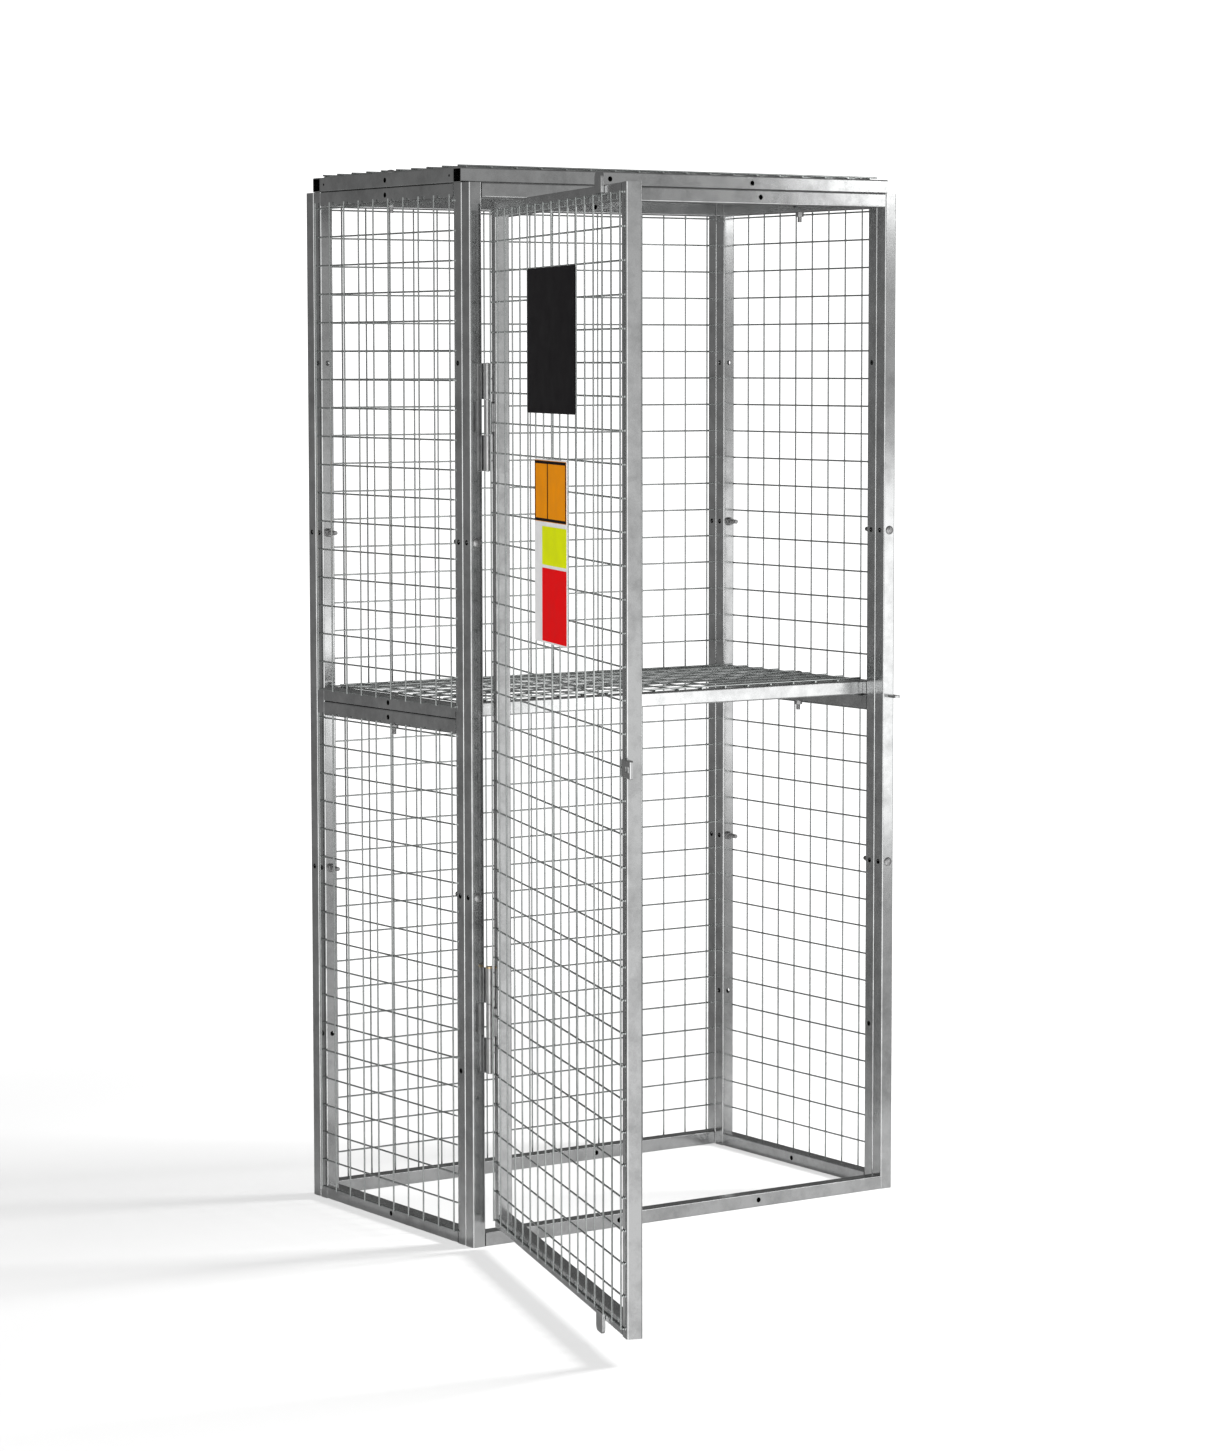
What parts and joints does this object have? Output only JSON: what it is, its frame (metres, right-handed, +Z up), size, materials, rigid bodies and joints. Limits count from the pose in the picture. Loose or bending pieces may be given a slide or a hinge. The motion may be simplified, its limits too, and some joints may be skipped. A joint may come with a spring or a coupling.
{
  "type": "gas cylinder cage",
  "caption": "Free-standing galvanised tube and welded mesh cage with a hinged door, a mesh shelf and a mesh roof, for upright gas cylinders.",
  "frame": {"origin": "on the ground under the middle of the front bottom rail", "axes": "+Z up, -Y out of the door side, +X to the right seen from the front"},
  "size_m": [1.1553, 1.3906, 1.8314],
  "materials": {
    "galvanised_tube": "hot-dip galvanised square tube, dull grey with soft cloudy mottling",
    "wire_mesh": "galvanised welded wire, lighter and smoother than the tube",
    "hinge_steel": "galvanised hinge leaves and knuckles",
    "lock_steel": "galvanised flat bar of the lock and the door stops"
  },
  "bodies": {
    "cage": {"back_bottom_rail": "galvanised_tube", "back_left_post": "galvanised_tube", "back_mesh": "wire_mesh", "back_right_post": "galvanised_tube", "back_top_rail": "galvanised_tube", "front_bottom_rail": "galvanised_tube", "front_left_post": "galvanised_tube", "front_right_post": "galvanised_tube", "front_top_rail": "galvanised_tube", "left_bottom_rail": "galvanised_tube", "left_front_upright": "galvanised_tube", "left_lower_mesh": "wire_mesh", "left_middle_rail": "galvanised_tube", "left_rear_upright": "galvanised_tube", "left_top_rail": "galvanised_tube", "left_upper_mesh": "wire_mesh", "lock_staple": "lock_steel", "lower_hinge_post_leaf": "hinge_steel", "right_bottom_rail": "galvanised_tube", "right_front_upright": "galvanised_tube", "right_lower_mesh": "wire_mesh", "right_middle_rail": "galvanised_tube", "right_rear_upright": "galvanised_tube", "right_top_rail": "galvanised_tube", "right_upper_mesh": "wire_mesh", "roof_front_tube": "galvanised_tube", "roof_left_tube": "galvanised_tube", "roof_mesh": "wire_mesh", "roof_rear_tube": "galvanised_tube", "roof_right_tube": "galvanised_tube", "shelf_front_tube": "galvanised_tube", "shelf_left_tube": "galvanised_tube", "shelf_mesh": "wire_mesh", "shelf_rear_tube": "galvanised_tube", "shelf_right_tube": "galvanised_tube", "upper_hinge_post_leaf": "hinge_steel"},
    "door": {"bottom_stop_tongue": "lock_steel", "door_bottom_rail": "galvanised_tube", "door_hinge_stile": "galvanised_tube", "door_lock_stile": "galvanised_tube", "door_mesh": "wire_mesh", "door_top_rail": "galvanised_tube", "lock_hasp": "lock_steel", "lower_hinge_door_leaf": "hinge_steel", "top_stop_tongue": "lock_steel", "upper_hinge_door_leaf": "hinge_steel"}
  },
  "joints": [
    {"name": "door_hinge", "type": "hinge", "parent": "cage", "child": "door", "pos_m": [-0.4225, -0.0238, 0.9], "axis": [0, 0, 1], "range_deg": [-71.5, 108.5]}
  ]
}
